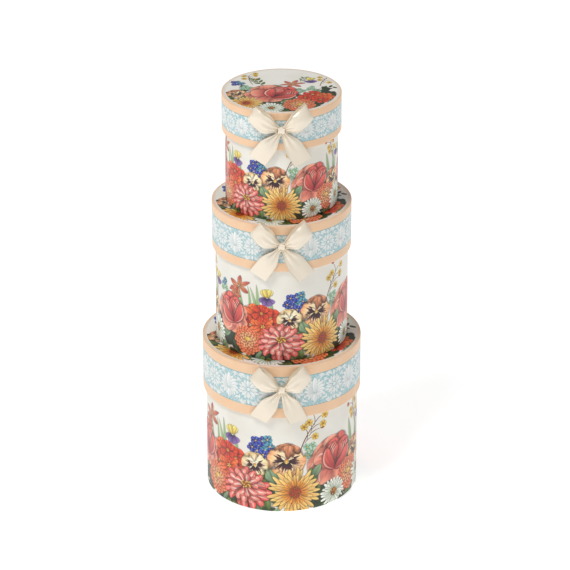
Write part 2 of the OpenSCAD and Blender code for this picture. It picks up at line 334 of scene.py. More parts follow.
def wallPrint():
    art = []
    for i in range(150):  # dense foliage behind the flowers
        x = -144 + 287 * (i + draw.random()) / 150
        y = draw.uniform(-14, 30) + 20 * (i % 4 == 0)
        name = draw.choice(["leafDark", "leafDark", "leafMid", "leafSage"])
        leaf(art, x, y, draw.uniform(0.3, 2.8), draw.uniform(18, 28), draw.uniform(5, 8), name,
             sway(0.5))
    for x in (-100, -96, -92, -87, -83, -79, -74, 108, 114, 120):
        addPetal(art, x + sway(2), 44, draw.uniform(1.35, 1.8), draw.uniform(46, 70),
                 draw.uniform(2.4, 4.2), "blade", sway(0.5))
    for x, lean in ((-63, 1.55), (-58, 1.75), (-22, 1.5), (12, 1.62), (36, 1.5)):
        addPetal(art, x, 34, lean, 52, 0.7, "stemGreen", sway(0.3))
    sprig(art, 22, 80, 1.08, 46)
    sprig(art, 122, 84, 1.9, 36)
    lily(art, -107, 104, 20, 0.5)
    lily(art, -117, 88, 16, 1.0)
    iris(art, -64, 94, 14)
    iris(art, 132, 98, 11)
    smallFlowers(art, -24, 88, 14, 11, ["blueDeep", "blueDeep", "blueSky"], 6.4)
    smallFlowers(art, 38, 80, 10, 7, ["mintPetal"], 5.4)
    smallFlowers(art, -136, 96, 8, 5, ["mintPetal", "blueSky"], 5.0)
    smallFlowers(art, 100, 62, 9, 6, ["mintPetal"], 5.4)
    for x, y, size, name in (
        (-82, 66, 18, "bloomOrange"), (-60, 64, 16, "bloomRed"), (-88, 50, 16, "bloomRed"),
        (-70, 50, 18, "bloomOrange"), (-72, 70, 14, "bloomRed"),
    ):
        bloom(art, x, y, size, name)
    rose(art, 66, 61, 31, 1.3)
    rose(art, -120, 60, 29, 1.8)
    for x, y, angle, size, name in (
        (42, 36, 1.9, 22, "leafMid"), (-6, 38, 2.0, 26, "leafSage"), (-12, 34, 2.7, 22, "leafMid"),
        (90, 44, 0.4, 24, "leafDark"), (94, 34, -0.2, 22, "leafDark"), (40, 44, 1.0, 18, "leafSage"),
    ):
        leaf(art, x, y, angle, size, size * 0.3, name)
    pansy(art, -33, 62, 17, 0.1, "pansyPale", "pansyPale")
    pansy(art, 6, 70, 23, -0.15)
    pansy(art, 116, 56, 17, 0.2)
    dahlia(art, -93, 25, 23)
    dahlia(art, 98, 29, 24)
    zinnia(art, -45, 27, 34)
    daisy(art, 129, 22, 23, "daisyWhite", "daisyWhite", 20, 2, 5)
    seedHead(art, 129, 22, 5.5, "seedBrown", 14)
    daisy(art, 69, 15, 21, "daisyWhite", "daisyWhite", 21, 2, 4.6)
    seedHead(art, 69, 15, 5.0, "seedBrown", 12)
    daisy(art, 16, 26, 35, "daisyGold", "daisyAmber", 25, 3, 6)
    seedHead(art, 16, 26, 7.0, "seedRed", 26, 1.0, "seedBrown")
    for x in (-18, -8, 44, 50, 84, -70, -120, 108):
        leaf(art, x, -8, draw.uniform(1.2, 1.9), 14, 4.2, draw.choice(["leafMid", "leafSage", "leafDark"]))
    return repeated(art, wallPeriod, 60)


def lidPrint():
    # the same flowers gathered on a round field, with bare paper towards the back
    art = []
    for i in range(96):
        angle = pi + pi * (i + draw.random()) / 96
        reach = draw.uniform(56, 94)
        leaf(art, reach * cos(angle), reach * sin(angle), draw.uniform(0, 6.28), 20, 5.5,
             draw.choice(["leafDark", "leafDark", "leafMid"]), sway(0.5))
    for i in range(44):
        leaf(art, draw.uniform(-62, 66), draw.uniform(-66, 6), draw.uniform(0, 6.28), 22, 6,
             draw.choice(["leafDark", "leafMid", "leafSage"]), sway(0.5))
    sprig(art, -46, 24, 1.75, 40)
    sprig(art, 62, 18, 1.25, 40)
    leafSpray(art, -30, 20, 2.0, 34, 6)
    leafSpray(art, 60, 6, 0.35, 28, 5, "leafDark")
    leafSpray(art, 30, 36, 1.2, 24, 5, "leafSage")
    iris(art, 47, 42, 13)
    lily(art, 18, 27, 21, 0.2)
    smallFlowers(art, -71, 29, 9, 7, ["blueDeep", "blueSky"], 5.4)
    smallFlowers(art, -58, 10, 9, 6, ["mintPetal"], 5.6)
    smallFlowers(art, 28, -2, 8, 6, ["mintPetal"], 5.6)
    smallFlowers(art, 49, 8, 8, 5, ["mintPetal"], 5.0)
    for x, y, size, name in (
        (50, -18, 16, "bloomRed"), (70, -26, 15, "bloomOrange"), (62, -40, 14, "bloomRed"),
        (38, -30, 13, "bloomRed"),
    ):
        bloom(art, x, y, size, name)
    pansy(art, -72, -14, 16, 0.3)
    rose(art, -20, -14, 35, 0.9)
    dahlia(art, 28, -62, 27)
    daisy(art, -56, -54, 28, "daisyGold", "daisyAmber", 21, 3, 5)
    seedHead(art, -56, -54, 5.8, "seedRed", 18, 1.0, "seedBrown")
    daisy(art, -16, -74, 22, "daisyWhite", "daisyWhite", 20, 2, 4.6)
    seedHead(art, -16, -74, 5.2, "seedBrown", 12)
    return art


damaskRepeats = 11
lidPeriod = 2 * pi * boxes[0]["lidRadius"] / damaskRepeats
bandShare = 0.195  # each plain band's share of a lid's height


def damaskPrint():
    # a tall palmette and a round star stand in turn along the lid's blue band
    art = []
    lidHeight = boxes[0]["rimTop"] - boxes[0]["lidLow"]
    middle = lidHeight / 2
    x = -lidPeriod / 4
    for side in (-1, 1):
        for turn, reach, half in [(0.3, 18, 2.6), (0.62, 17, 2.7), (0.98, 15, 2.6), (1.4, 13, 2.4),
                                  (1.9, 12, 2.2), (2.4, 11, 2.0), (2.85, 10, 1.8)]:
            addPetal(art, x + side * 1.2, middle - 4, pi / 2 - side * turn, reach, half, "damask",
                     0.5 * side, 0.5)
        for dx, dy, turn, reach in [(3, -15, 0.3, 11), (4, -11, 1.0, 10), (8, -16, 1.3, 9), (7, 12, 0.9, 9),
                                    (5, 16, 1.4, 8), (11, 7, 1.2, 8), (12, -5, 1.7, 8)]:
            addPetal(art, x + side * dx, middle + dy, pi / 2 - side * turn, reach, 1.5, "damask",
                     0.9 * side, 0.5)
        addPetal(art, x + side * 12.5, middle - 10, pi / 2, 4.0, 1.7, "damask", 0, 0.5)
    addPetal(art, x, middle - 5, pi / 2, 21, 3.2, "damask", 0, 0.6)
    addPetal(art, x, middle - 18, pi / 2, 13, 3.0, "damask", 0, 0.5)
    x = lidPeriod / 4
    star = flowerPlane(art, x, middle)
    for k in range(8):
        star(2.6, pi / 4 * k, 9.4, 2.3, "damask", tone=0.5)
        star(7.0, pi / 4 * (k + 0.5), 6.2, 1.5, "damask", tone=0.5)
    star(-2.2, 0, 4.4, 2.2, "damask", tone=0.6)
    for side in (-1, 1):
        for up in (-1, 1):
            for dx, dy, turn, reach in [(2, 13.5, 1.2, 9), (8, 12.5, 0.9, 7), (3, 17, 1.5, 9),
                                        (12, 8, 0.6, 6)]:
                addPetal(art, x + side * dx, middle + up * dy, up * (pi / 2 - side * turn), reach, 1.4,
                         "damask", 0.8 * side * up, 0.5)
        addPetal(art, x, middle + side * 12.5, side * pi / 2, 6.5, 1.9, "damask", 0, 0.5)
    for i in range(22):  # small dots along the band's edges
        addPetal(art, -lidPeriod / 2 + lidPeriod * (i + 0.5) / 22, middle + (19 if i % 2 else -19), 0, 1.5,
                 0.75, "damask", 0, 0.5)
    return repeated(art, lidPeriod, 2 * lidPeriod)


layerCount = 6
blankLayer = (-5.0, 9.0, 0.5, 0.5)


def layPrint(corners, art):
    # corners holds each face's four corners on the artwork; every face keeps the topmost petals on it
    faces = len(corners)
    centre = corners.mean(axis=1)
    centreX = np.ascontiguousarray(centre[:, 0])
    centreY = np.ascontiguousarray(centre[:, 1])
    spread = np.sqrt(((corners - centre[:, None]) ** 2).sum(axis=2)).max()
    mixes = np.array([
        (1, 0, 0, 0), (0, 1, 0, 0), (0, 0, 1, 0), (0, 0, 0, 1), (0.5, 0.5, 0, 0), (0, 0.5, 0.5, 0),
        (0, 0, 0.5, 0.5), (0.5, 0, 0, 0.5), (0.25, 0.25, 0.25, 0.25),
    ])
    samples = np.einsum("sk,fkd->fsd", mixes, corners)
    layers = np.empty((faces, layerCount, 4, 4), dtype=np.float32)
    layers[:] = blankLayer
    used = np.zeros(faces, dtype=int)
    closed = np.zeros(faces, dtype=bool)
    for x, y, angle, length, half, code, step, shade in reversed(art):
        look = petalKinds[kindNames[code]]
        margin = 0.5 + 0.35 * half * look["shadow"]
        bow = (step / bowSteps * 2 - 1) * look["bow"]
        cosine = cos(angle)
        sine = sin(angle)
        middle = (x + cosine * length / 2, y + sine * length / 2)
        reach = length / 2 + half * (1 + abs(bow)) + margin
        closeX = np.abs(centreX - middle[0]) < reach + spread
        closeY = np.abs(centreY - middle[1]) < reach + spread
        near = np.flatnonzero(closeX & closeY & ~closed)
        if not len(near):
            continue
        away = samples[near] - (x, y)
        u = (away[..., 0] * cosine + away[..., 1] * sine) / length
        v = (away[..., 1] * cosine - away[..., 0] * sine) / half
        inner = np.clip(u, 0, 1)
        bent = np.abs(v - bow * 4 * inner * (1 - inner)) * half
        norm = outlineNorm(look["rise"], look["fall"])
        width = norm * inner ** look["rise"] * (1 - inner) ** look["fall"] * half
        slack = margin / length
        reached = (bent < width * (1 + look["ruffle"]) + margin) & (u > -slack) & (u < 1 + slack)
        touched = reached.any(axis=1)
        solid = (bent < width * (1 - look["ruffle"]) - 0.05) & (u > 0.01) & (u < 0.99)
        covered = solid.all(axis=1)
        full = used[near] >= layerCount
        take = (touched & ~full) | (covered & full)
        chosen = near[take]
        if not len(chosen):
            continue
        slot = np.minimum(used[chosen], layerCount - 1)
        layers[chosen, slot, :, 0] = u[take][:, :4]
        layers[chosen, slot, :, 1] = v[take][:, :4]
        layers[chosen, slot, :, 2] = code + 0.5
        layers[chosen, slot, :, 3] = step + shade
        used[chosen] += 1
        closed[near[covered]] = True
    return layers


wallArt = wallPrint()
lidArt = lidPrint()
damaskArt = damaskPrint()
print("artwork drawn:", len(wallArt), len(lidArt), len(damaskArt), "petals")


def linear(colour):
    # colours are written as 0 to 255, and the shaders take them as linear light
    parts = [c / 255 for c in colour]
    return tuple(p / 12.92 if p <= 0.04045 else ((p + 0.055) / 1.055) ** 2.4 for p in parts) + (1.0,)


def addNode(tree, kindName, **settings):
    node = tree.nodes.new("ShaderNode" + kindName)
    for key, value in settings.items():
        setattr(node, key, value)
    return node


def join(tree, source, node, socket):
    # source is a fixed value or another node's output
    if isinstance(source, (int, float, tuple)):
        node.inputs[socket].default_value = source
    else:
        tree.links.new(source, node.inputs[socket])


def maths(tree, operation, *values, clamp=False):
    node = addNode(tree, "Math", operation=operation, use_clamp=clamp)
    for i, value in enumerate(values):
        join(tree, value, node, i)
    return node.outputs[0]


def times(tree, first, second):
    return maths(tree, "MULTIPLY", first, second)


def timesPlus(tree, first, second, third):
    return maths(tree, "MULTIPLY_ADD", first, second, third)


def plus(tree, first, second):
    return maths(tree, "ADD", first, second)


def minus(tree, first, second):
    return maths(tree, "SUBTRACT", first, second)


def ease(tree, value, low, high, start=0.0, end=1.0):
    node = addNode(tree, "MapRange", interpolation_type="SMOOTHSTEP")
    for i, given in enumerate((value, low, high, start, end)):
        join(tree, given, node, i)
    return node.outputs[0]


def blendColours(tree, share, first, second, blendType="MIX", clamp=False):
    node = addNode(tree, "Mix", data_type="RGBA", blend_type=blendType, clamp_result=clamp)
    for given, i in ((share, 0), (first, 6), (second, 7)):
        join(tree, given, node, i)
    return node.outputs[2]


def point(tree, x, y, z):
    node = addNode(tree, "CombineXYZ")
    for i, value in enumerate((x, y, z)):
        join(tree, value, node, i)
    return node.outputs[0]


def scaled(tree, vector, size):
    node = addNode(tree, "VectorMath", operation="SCALE")
    join(tree, vector, node, 0)
    join(tree, size, node, "Scale")
    return node.outputs[0]


def splitUp(tree, source, kindName="SeparateColor"):
    node = addNode(tree, kindName)
    join(tree, source, node, 0)
    return node.outputs


def noise(tree, place, scale, detail=1.0, roughness=0.5):
    node = addNode(tree, "TexNoise")
    for label, value in (("Vector", place), ("Scale", scale), ("Detail", detail), ("Roughness", roughness)):
        join(tree, value, node, label)
    return node.outputs["Fac"]


def stepRamp(tree, factor, stops):
    node = addNode(tree, "ValToRGB")
    ramp = node.color_ramp
    ramp.interpolation = "CONSTANT"
    while len(ramp.elements) < len(stops):
        ramp.elements.new(1.0)
    for element, (place, colour) in zip(ramp.elements, stops):
        element.position = place
        element.color = colour
    join(tree, factor, node, 0)
    return node.outputs["Color"], node.outputs["Alpha"]


def startGroup(name, inputs, outputs):
    tree = bpy.data.node_groups.new(name, "ShaderNodeTree")
    for inOut, sockets in (("INPUT", inputs), ("OUTPUT", outputs)):
        for label, socketType, value in sockets:
            socket = tree.interface.new_socket(label, in_out=inOut, socket_type="NodeSocket" + socketType)
            if value is not None:
                socket.default_value = value
    return tree, tree.nodes.new("NodeGroupInput"), tree.nodes.new("NodeGroupOutput")


rampStops = 32  # a colour ramp holds no more


def kindRamp(tree, factor, colourOf, alphaOf):
    # a constant ramp with one stop for each petal kind
    looks = list(petalKinds.values())
    stops = [(i / rampStops, colourOf(look)[:3] + (alphaOf(look),)) for i, look in enumerate(looks)]
    return stepRamp(tree, factor, stops)


def petalOutline(tree, factor, u, v, code, seed):
    # the petal's half width at u, with its ruffled edge
    inner = maths(tree, "MULTIPLY", u, 1.0, clamp=True)
    outer = minus(tree, 1.0, inner)
    shape, ruffle = kindRamp(
        tree, factor,
        lambda k: (k["rise"] / 2, k["fall"] / 2, outlineNorm(k["rise"], k["fall"]) / 8),
        lambda k: k["ruffle"],
    )
    rise, fall, norm = splitUp(tree, shape)
    widthUp = maths(tree, "POWER", inner, times(tree, rise, 2.0))
    widthDown = maths(tree, "POWER", outer, times(tree, fall, 2.0))
    width = times(tree, times(tree, widthUp, widthDown), times(tree, norm, 8.0))
    place = point(tree, timesPlus(tree, u, 3.5, seed), times(tree, v, 0.6), code)
    ruffled = times(tree, minus(tree, noise(tree, place, 1.0), 0.5), times(tree, ruffle, 3.0))
    return inner, outer, times(tree, width, plus(tree, ruffled, 1.0))


def petalBrightness(tree, style, shade, bent, across, margin, lines):
    # fine streaks, a dark rib, a dark outline and a slow change from side to side
    ribSigned, streak, edge = style
    bright = timesPlus(tree, shade, 0.24, 0.88)
    streaks = times(tree, minus(tree, lines, 0.5), times(tree, streak, 3.0))
    bright = times(tree, bright, plus(tree, streaks, 1.0))
    ribDark = maths(tree, "MAXIMUM", times(tree, ribSigned, -1.0), 0.0)
    for dark in (times(tree, ease(tree, across, 0.3, 0.0), ribDark),
                 times(tree, ease(tree, margin, 0.3, 0.0), edge)):
        bright = times(tree, bright, minus(tree, 1.0, dark))
    return times(tree, bright, timesPlus(tree, bent, 0.1, 1.0))


def buildPetalGroup():
    # one petal painted over what lies under it; u runs from its base to its tip, v across it
    tree, given, made = startGroup(
        "petalLayer",
        [("Local", "Color", None), ("Extra", "Float", 0.5), ("Under", "Color", None)],
        [("Color", "Color", None)],
    )
    u, v, code = splitUp(tree, given.outputs["Local"])
    extra = given.outputs["Extra"]
    factor = maths(tree, "DIVIDE", code, float(rampStops))
    shade = maths(tree, "FRACT", extra)
    bowStep = maths(tree, "FLOOR", extra)
    seed = times(tree, shade, 37.0)
    inner, outer, width = petalOutline(tree, factor, u, v, code, seed)
    arch = times(tree, inner, outer)

    base, bowScale = kindRamp(tree, factor, lambda k: linear(k["base"]), lambda k: k["bow"] / 16)
    bow = times(tree, timesPlus(tree, bowStep, 2.0 / bowSteps, -1.0), times(tree, bowScale, 64.0))
    bent = minus(tree, v, times(tree, bow, arch))
    across = maths(tree, "ABSOLUTE", bent)
    past = maths(tree, "ABSOLUTE", minus(tree, u, inner))
    margin = minus(tree, minus(tree, width, across), times(tree, past, 9.0))

    style, shadow = kindRamp(tree, factor, lambda k: ((k["rib"] + 1) / 2, k["streak"], k["edge"]),
                             lambda k: k["shadow"])
    rib, streak, edge = splitUp(tree, style)
    ribSigned = timesPlus(tree, rib, 2.0, -1.0)
    shadeMask = times(tree, ease(tree, margin, -0.42, 0.0), shadow)
    under = blendColours(tree, shadeMask, given.outputs["Under"], linear((104, 66, 60)), "MULTIPLY")
    tip, power = kindRamp(tree, factor, lambda k: linear(k["tip"]), lambda k: k["power"] / 4)
    colour = blendColours(tree, maths(tree, "POWER", inner, times(tree, power, 4.0)), base, tip)
    middleBand = times(tree, ease(tree, across, 0.5, 0.05), arch)
    glow = times(tree, maths(tree, "MAXIMUM", ribSigned, 0.0), times(tree, middleBand, 4.0))
    colour = blendColours(tree, glow, colour, linear((255, 232, 220)))
    linePlace = point(tree, timesPlus(tree, u, 1.6, seed), times(tree, bent, 3.6), code)
    lines = noise(tree, linePlace, 1.0)
    bright = petalBrightness(tree, (ribSigned, streak, edge), shade, bent, across, margin, lines)
    lit = scaled(tree, colour, bright)
    result = blendColours(tree, ease(tree, margin, 0.0, 0.05), under, lit, clamp=True)
    join(tree, result, made, "Color")
    return tree


def buildFibreGroup():
    # fine felted fibres, as paper and board show them
    tree, given, made = startGroup(
        "paperFibre",
        [("Scale", "Float", 1.0), ("Depth", "Float", 0.05)],
        [("Tone", "Float", None), ("Height", "Float", None), ("Cloud", "Float", None)],
    )
    sized = scaled(tree, addNode(tree, "TexCoord").outputs["Object"], given.outputs["Scale"])
    fine = noise(tree, sized, 1400.0, 3.0, 0.65)
    cloud = noise(tree, sized, 36.0, 2.0)
    depth = given.outputs["Depth"]
    lift = times(tree, minus(tree, fine, 0.5), depth)
    drift = times(tree, minus(tree, cloud, 0.5), depth)
    tone = plus(tree, plus(tree, lift, drift), 1.0)
    for label, value in (("Tone", tone), ("Height", fine), ("Cloud", cloud)):
        join(tree, value, made, label)
    return tree


def buildWeaveGroup():
    # satin: long floats along the ribbon, faint picks across it and a corded edge
    tree, given, made = startGroup(
        "satinWeave",
        [("Place", "Vector", None)],
        [("Tone", "Float", None), ("Height", "Float", None), ("Edge", "Float", None)],
    )
    along, across, _ = splitUp(tree, given.outputs["Place"], "SeparateXYZ")
    floats = noise(tree, point(tree, times(tree, along, 0.5), times(tree, across, 7.0), 0.0), 1.0, 2.0)
    picks = maths(tree, "SINE", times(tree, along, 2 * pi * 2.6))
    edge = ease(tree, maths(tree, "ABSOLUTE", across), 10.0, 10.6)
    height = timesPlus(tree, edge, 0.6, timesPlus(tree, picks, 0.06, floats))
    tone = timesPlus(tree, floats, 0.1, 0.95)
    for label, value in (("Tone", tone), ("Height", height), ("Edge", edge)):
        join(tree, value, made, label)
    return tree


petalGroup = buildPetalGroup()
fibreGroup = buildFibreGroup()
weaveGroup = buildWeaveGroup()


def useGroup(tree, group, **values):
    node = addNode(tree, "Group", node_tree=group)
    for label, value in values.items():
        join(tree, value, node, label)
    return node


def startMaterial(name, roughness, **shine):
    material = bpy.data.materials.new(name)
    material.use_nodes = True
    tree = material.node_tree
    shader = tree.nodes["Principled BSDF"]
    shader.inputs["Roughness"].default_value = roughness
    for label, value in shine.items():
        shader.inputs[label.replace("_", " ")].default_value = value
    return material, tree, shader


def finishSurface(tree, shader, texture, colour, rough, bump):
    # a texture group tints the colour, varies the gloss and raises the surface
    output, share, start = rough
    strength, distance = bump
    join(tree, scaled(tree, colour, texture.outputs["Tone"]), shader, "Base Color")
    join(tree, timesPlus(tree, texture.outputs[output], share, start), shader, "Roughness")
    raised = addNode(tree, "Bump")
    join(tree, strength, raised, "Strength")
    join(tree, distance, raised, "Distance")
    join(tree, texture.outputs["Height"], raised, "Height")
    join(tree, raised.outputs[0], shader, "Normal")


def readAttribute(tree, name):
    return addNode(tree, "Attribute", attribute_name=name)


def plainPaper(name, colour, roughness, scale, depth, strength):
    material, tree, shader = startMaterial(name, roughness)
    fibre = useGroup(tree, fibreGroup, Scale=scale, Depth=depth)
    rough = ("Cloud", 0.16, roughness - 0.08)
    finishSurface(tree, shader, fibre, linear(colour)[:3], rough, (strength, 0.0002))
    return material


def printedPaper(name, ground):
    material, tree, shader = startMaterial(name, 0.42, Coat_Weight=0.12, Coat_Roughness=0.3)
    colour = ground(tree)
    for layer in range(layerCount, 0, -1):
        local = readAttribute(tree, "layer" + str(layer))
        petals = useGroup(tree, petalGroup, Local=local.outputs["Color"], Extra=local.outputs["Alpha"],
                          Under=colour)
        colour = petals.outputs["Color"]
    ink = addNode(tree, "Gamma")  # the inks print a little deeper than they are mixed
    join(tree, colour, ink, "Color")
    join(tree, groundLook["inkDepth"], ink, "Gamma")
    fibre = useGroup(tree, fibreGroup, Scale=1.0, Depth=0.05)
    finishSurface(tree, shader, fibre, ink.outputs[0], ("Cloud", 0.14, 0.36), (0.12, 0.0001))
    return material


# the wall factor dims the wall paper to nine tenths of the top paper's white: a painted shade on the walls
groundLook = {"light": (252, 250, 242), "shade": (246, 242, 232), "wallPaintedShade": 0.9, "inkDepth": 1.2}


def whiteGround(tree, bright=1.0):
    # bare paper with the faintest wash of shade, all scaled by bright; below 1 the scale is a painted shade
    place = addNode(tree, "TexCoord").outputs["Object"]
    wash = ease(tree, noise(tree, place, 26.0, 3.0), 0.35, 0.75)
    paper = blendColours(tree, wash, linear(groundLook["light"]), linear(groundLook["shade"]))
    return scaled(tree, paper, bright)


bandColours = {
    "peach": (244, 208, 172), "teal": (134, 180, 186), "blue": (160, 202, 208), "lace": (226, 234, 234),
    "rim": (248, 224, 198), "bareRim": (242, 234, 226), "wash": (251, 240, 228),
}
bandLine = 0.012  # the teal line beside each peach band, as a share of the lid's height


def bandGround(tree):
    # peach, blue and peach bands up the lid, then a paler rim on top
    share = readAttribute(tree, "paperShare").outputs["Fac"]
    before, span = 0.25, 1.5  # the ramp runs from -0.25 to 1.25 of the lid's height
    factor = timesPlus(tree, share, 1 / span, before / span)
    stops = []
    for place, name in ((-before, "peach"), (bandShare, "teal"), (bandShare + bandLine, "blue"),
                        (1 - bandShare - bandLine, "teal"), (1 - bandShare, "peach"), (1.008, "rim"),
                        (1.05, "bareRim")):
        stops.append(((place + before) / span, linear(bandColours[name])))
    bands, _ = stepRamp(tree, factor, stops)
    place = addNode(tree, "TexCoord").outputs["Object"]
    cloud = noise(tree, place, 60.0, 3.0)
    lace = noise(tree, place, 520.0, 2.0)
    fromMiddle = maths(tree, "ABSOLUTE", minus(tree, share, 0.5))
    inside = ease(tree, fromMiddle, 0.5 - bandShare - 0.02, 0.5 - bandShare - 0.04)
    veil = times(tree, ease(tree, lace, 0.42, 0.62, 0.0, 0.55), inside)
    laced = blendColours(tree, veil, bands, linear(bandColours["lace"]))
    return blendColours(tree, ease(tree, cloud, 0.3, 0.8, 0.0, 0.16), laced, linear(bandColours["wash"]))


satinLook = {"cream": (242, 229, 207), "edge": (220, 203, 176), "metresToMm": 1000.0}


def satinMaterial():
    material, tree, shader = startMaterial("creamSatin", 0.3, Sheen_Weight=0.3, Sheen_Roughness=0.3,
                                           Anisotropic=0.5, Specular_IOR_Level=1.0, Coat_Weight=0.5,
                                           Coat_Roughness=0.3)
    place = addNode(tree, "UVMap", uv_map="ribbonPlace").outputs[0]  # metres along and across the ribbon
    weave = useGroup(tree, weaveGroup, Place=scaled(tree, place, satinLook["metresToMm"]))
    cream = blendColours(tree, weave.outputs["Edge"], linear(satinLook["cream"]), linear(satinLook["edge"]))
    finishSurface(tree, shader, weave, cream, ("Height", 0.1, 0.25), (0.2, 0.0001))
    return material


boardLook = {"dark": (176, 160, 138), "light": (196, 182, 162)}


def boardMaterial():
    material, tree, shader = startMaterial("greyBoard", 0.85)
    fibre = useGroup(tree, fibreGroup, Scale=0.5, Depth=0.35)
    grey = blendColours(tree, fibre.outputs["Cloud"], linear(boardLook["dark"]), linear(boardLook["light"]))
    finishSurface(tree, shader, fibre, grey, ("Height", 0.2, 0.72), (0.4, 0.0003))
    return material


# the wall paper is the top paper dimmed by a painted shade
wallPaper = printedPaper("flowerPaper", lambda tree: whiteGround(tree, groundLook["wallPaintedShade"]))
bandPaper = printedPaper("damaskPaper", bandGround)
topPaper = printedPaper("topPaper", whiteGround)
satin = satinMaterial()
board = boardMaterial()
lining = plainPaper("liningPaper", (246, 242, 234), 0.6, 1.0, 0.08, 0.2)
ivory = plainPaper("basePaper", (242, 236, 224), 0.62, 0.8, 0.1, 0.25)
finishes = {
    "body_tube": board, "base_board": board, "lid_hoop": board, "lid_board": board, "base_paper": ivory,
    "body_lining": lining, "floor_lining": lining, "lid_lining": lining, "lid_ceiling": lining,
}


def paint(thing, material):
    thing.data.materials.clear()
    thing.data.materials.append(material)


for box in boxes:
    for part, material in finishes.items():
        paint(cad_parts[box["name"] + "_" + part], material)
print("materials made")


def clearSelection():
    if bpy.context.object and bpy.context.object.mode != "OBJECT":
        bpy.ops.object.mode_set(mode="OBJECT")
    bpy.ops.object.select_all(action="DESELECT")


def pick(thing):
    clearSelection()
    thing.select_set(True)
    bpy.context.view_layer.objects.active = thing


def applyModifier(thing, name, kindName, **settings):
    modifier = thing.modifiers.new(name, kindName)
    for key, value in settings.items():
        setattr(modifier, key, value)
    bpy.ops.object.modifier_apply(modifier=modifier.name)


def spinLine(name, line, steps):
    # line is a list of (radius, height, paper): a vertex is drawn out along it, then spun about the axis
    clearSelection()
    bpy.ops.mesh.primitive_plane_add(size=mm, location=(line[0][0] * mm, 0, line[0][1] * mm))
    thing = bpy.context.object
    thing.name = name
    thing.data.name = name
    bpy.ops.object.transform_apply(location=True, rotation=False, scale=False)
    bpy.ops.object.mode_set(mode="EDIT")
    bpy.ops.mesh.select_all(action="SELECT")
    bpy.ops.mesh.merge(type="CENTER")
    for before, after in zip(line, line[1:]):
        move = ((after[0] - before[0]) * mm, 0, (after[1] - before[1]) * mm)
        bpy.ops.mesh.extrude_vertices_move(TRANSFORM_OT_translate={"value": move})
    bpy.ops.object.mode_set(mode="OBJECT")
    mesh = thing.data
    along = 0.0
    marks = [0.0]
    for before, after in zip(line, line[1:]):
        along += hypot(after[0] - before[0], after[1] - before[1])
        marks.append(along)
    for label, values in (("paperMark", [p[2] for p in line]), ("lineMark", [m / along for m in marks])):
        mesh.attributes.new(label, "FLOAT", "POINT").data.foreach_set("value", values)
    applyModifier(thing, "lathe", "SCREW", steps=steps, render_steps=steps, use_normal_calculate=False,
                  use_smooth_shade=False)
    return thing


def readVertices(mesh, label):
    values = np.empty(len(mesh.vertices), dtype=np.float32)
    mesh.attributes[label].data.foreach_get("value", values)
    return values


def faceLoops(mesh):
    starts = np.empty(len(mesh.polygons), dtype=np.int32)
    mesh.polygons.foreach_get("loop_start", starts)
    return starts[:, None] + np.arange(4)[None, :]


def readCorners(mesh):
    # for each face's four corners: the turn about the axis, the spot, the paper mark and the line mark
    loops = faceLoops(mesh)
    corner = np.empty(len(mesh.loops), dtype=np.int32)
    mesh.loops.foreach_get("vertex_index", corner)
    spots = np.empty(len(mesh.vertices) * 3, dtype=np.float32)
    mesh.vertices.foreach_get("co", spots)
    spots = spots.reshape(-1, 3)[corner[loops]].astype(float) / mm
    marks = readVertices(mesh, "paperMark")[corner[loops]].astype(float)
    lines = readVertices(mesh, "lineMark")[corner[loops]].astype(float)
    middle = spots[:, :, :2].mean(axis=1)
    faceTurn = np.arctan2(middle[:, 0], -middle[:, 1])
    turn = np.arctan2(spots[:, :, 0], -spots[:, :, 1]) - faceTurn[:, None]
    turn = (turn + pi) % (2 * pi) - pi + faceTurn[:, None]
    return loops, turn, spots, marks, lines


def printOnto(thing, art, place, uvPlace):
    # place turns the corners into artwork millimetres, and uvPlace lays them flat on the UV map
    mesh = thing.data
    loops, turn, spots, marks, lines = readCorners(mesh)
    where = place(turn, spots, marks)
    printed = (marks > blankMark).all(axis=1)
    layers = np.empty((len(marks), layerCount, 4, 4), dtype=np.float32)
    layers[:] = blankLayer
    layers[printed] = layPrint(where[printed], art)
    for layer in range(layerCount):
        values = np.empty((len(mesh.loops), 4), dtype=np.float32)
        values[loops] = layers[:, layer]
        data = mesh.attributes.new("layer" + str(layer + 1), "FLOAT_COLOR", "CORNER").data
        data.foreach_set("color", values.ravel())
    share = np.empty(len(mesh.loops), dtype=np.float32)
    share[loops] = marks
    mesh.attributes.new("paperShare", "FLOAT", "CORNER").data.foreach_set("value", share)
    flat = np.empty((len(mesh.loops), 2), dtype=np.float32)
    flat[loops] = uvPlace(turn, spots, marks, lines)
    mesh.uv_layers.new(name="OFBake").data.foreach_set("uv", flat.ravel())
    for label in ("paperMark", "lineMark"):
        mesh.attributes.remove(mesh.attributes[label])
    bpy.ops.object.mode_set(mode="EDIT")
    bpy.ops.mesh.select_all(action="SELECT")
    bpy.ops.mesh.remove_doubles(threshold=0.002 * mm)
    bpy.ops.mesh.normals_make_consistent(inside=False)
    bpy.ops.object.mode_set(mode="OBJECT")
    bpy.ops.object.shade_smooth_by_angle(angle=radians(35))
    return thing


def rollRows(low, high, size):
    count = max(1, round(abs(high - low) / size))
    return [low + (high - low) * i / count for i in range(1, count + 1)]


def roundCorner(radius, height, turnRadius, startAngle, sweep, mark):
    # a quarter turn of paper round an edge; the paper mark grows along it
    points = []
    for i in range(1, 5):
        angle = startAngle + sweep * i / 4
        grown = mark + turnRadius * abs(sweep) * i / 4
        points.append((radius + turnRadius * cos(angle), height + turnRadius * sin(angle), grown))
    return points


hiddenMark = -900.0  # marks the glued side, which carries no print
blankMark = -500.0  # nothing below this is printed
quarter = pi / 2


def aroundWall(turn, radius, shift, period):
    # each corner's place across a design that repeats round a wall, kept together face by face
    along = turn * radius + shift
    middle = along.mean(axis=1, keepdims=True)
    return (middle + period / 2) % period - period / 2 + along - middle


def unrolled(turn, spots, marks, lines):
    # the wall laid flat, a hair inside the unit square
    around = (turn / (2 * pi) + 0.5) * 0.998 + 0.001
    return np.stack([around, lines * 0.996 + 0.002], axis=2)


